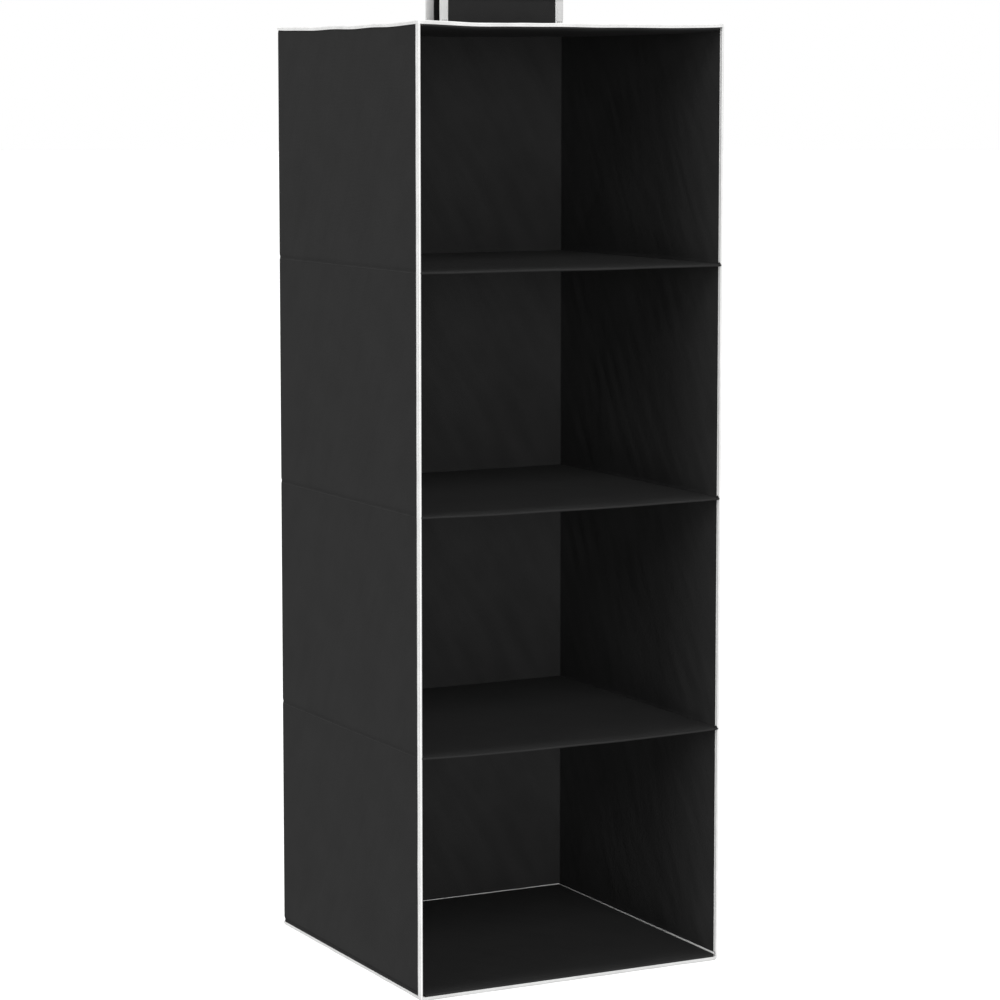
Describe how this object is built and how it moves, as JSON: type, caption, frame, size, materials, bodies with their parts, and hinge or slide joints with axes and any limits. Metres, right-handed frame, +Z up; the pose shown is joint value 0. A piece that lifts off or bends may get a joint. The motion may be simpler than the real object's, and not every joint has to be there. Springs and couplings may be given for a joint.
{
  "type": "hanging closet organiser",
  "caption": "Soft hanging organiser with open-front compartments between stiffened shelves, hung from a wide strap that closes round a closet rod.",
  "frame": {"origin": "on the closet rod's axis, at the middle of the strap's width", "axes": "+Z up, -Y towards the open front, +X to the right seen from the front, along the rod"},
  "size_m": [0.3, 0.3006, 0.9807],
  "materials": {
    "black_cloth": "matte non-woven cloth",
    "strap_cloth": "matte non-woven cloth, two layers",
    "white_tape": "matte woven edge binding",
    "board": "plain grey-brown board",
    "closure": "black hook-and-loop tape"
  },
  "bodies": {
    "top": {"top_board": "board", "top_sleeve": "black_cloth", "top_binding": "white_tape", "strap": "strap_cloth", "strap_binding": "white_tape", "strap_tab": "strap_cloth", "strap_tab_binding": "white_tape", "strap_loop_tape": "closure", "left_wall_1": "black_cloth", "right_wall_1": "black_cloth", "back_wall_1": "black_cloth", "left_binding_1": "white_tape", "right_binding_1": "white_tape"},
    "strap_flap": {"strap_flap": "strap_cloth", "strap_flap_binding": "white_tape", "strap_hook_tape": "closure"},
    "shelf_1": {"shelf_1_board": "board", "shelf_1_sleeve": "black_cloth", "shelf_1_corner_tabs": "black_cloth", "left_wall_2": "black_cloth", "right_wall_2": "black_cloth", "back_wall_2": "black_cloth", "left_binding_2": "white_tape", "right_binding_2": "white_tape"},
    "shelf_2": {"shelf_2_board": "board", "shelf_2_sleeve": "black_cloth", "shelf_2_corner_tabs": "black_cloth", "left_wall_3": "black_cloth", "right_wall_3": "black_cloth", "back_wall_3": "black_cloth", "left_binding_3": "white_tape", "right_binding_3": "white_tape"},
    "shelf_3": {"shelf_3_board": "board", "shelf_3_sleeve": "black_cloth", "shelf_3_corner_tabs": "black_cloth", "left_wall_4": "black_cloth", "right_wall_4": "black_cloth", "back_wall_4": "black_cloth", "left_binding_4": "white_tape", "right_binding_4": "white_tape"},
    "bottom": {"bottom_board": "board", "bottom_sleeve": "black_cloth", "bottom_binding": "white_tape", "bottom_inner_seam": "white_tape"}
  },
  "joints": [
    {"name": "tier_1", "type": "slide", "parent": "top", "child": "shelf_1", "axis": [0, 0, 1], "range_m": [0, 0.19], "deforming": ["left_wall_1", "right_wall_1", "back_wall_1", "left_binding_1", "right_binding_1"]},
    {"name": "tier_2", "type": "slide", "parent": "shelf_1", "child": "shelf_2", "axis": [0, 0, 1], "range_m": [0, 0.19], "deforming": ["left_wall_2", "right_wall_2", "back_wall_2", "left_binding_2", "right_binding_2"]},
    {"name": "tier_3", "type": "slide", "parent": "shelf_2", "child": "shelf_3", "axis": [0, 0, 1], "range_m": [0, 0.19], "deforming": ["left_wall_3", "right_wall_3", "back_wall_3", "left_binding_3", "right_binding_3"]},
    {"name": "tier_4", "type": "slide", "parent": "shelf_3", "child": "bottom", "axis": [0, 0, 1], "range_m": [0, 0.19], "deforming": ["left_wall_4", "right_wall_4", "back_wall_4", "left_binding_4", "right_binding_4"]},
    {"name": "flap_fold", "type": "hinge", "parent": "top", "child": "strap_flap", "pos_m": [0, -0.0161, 0], "axis": [-1, 0, 0], "range_deg": [0, 140]}
  ]
}
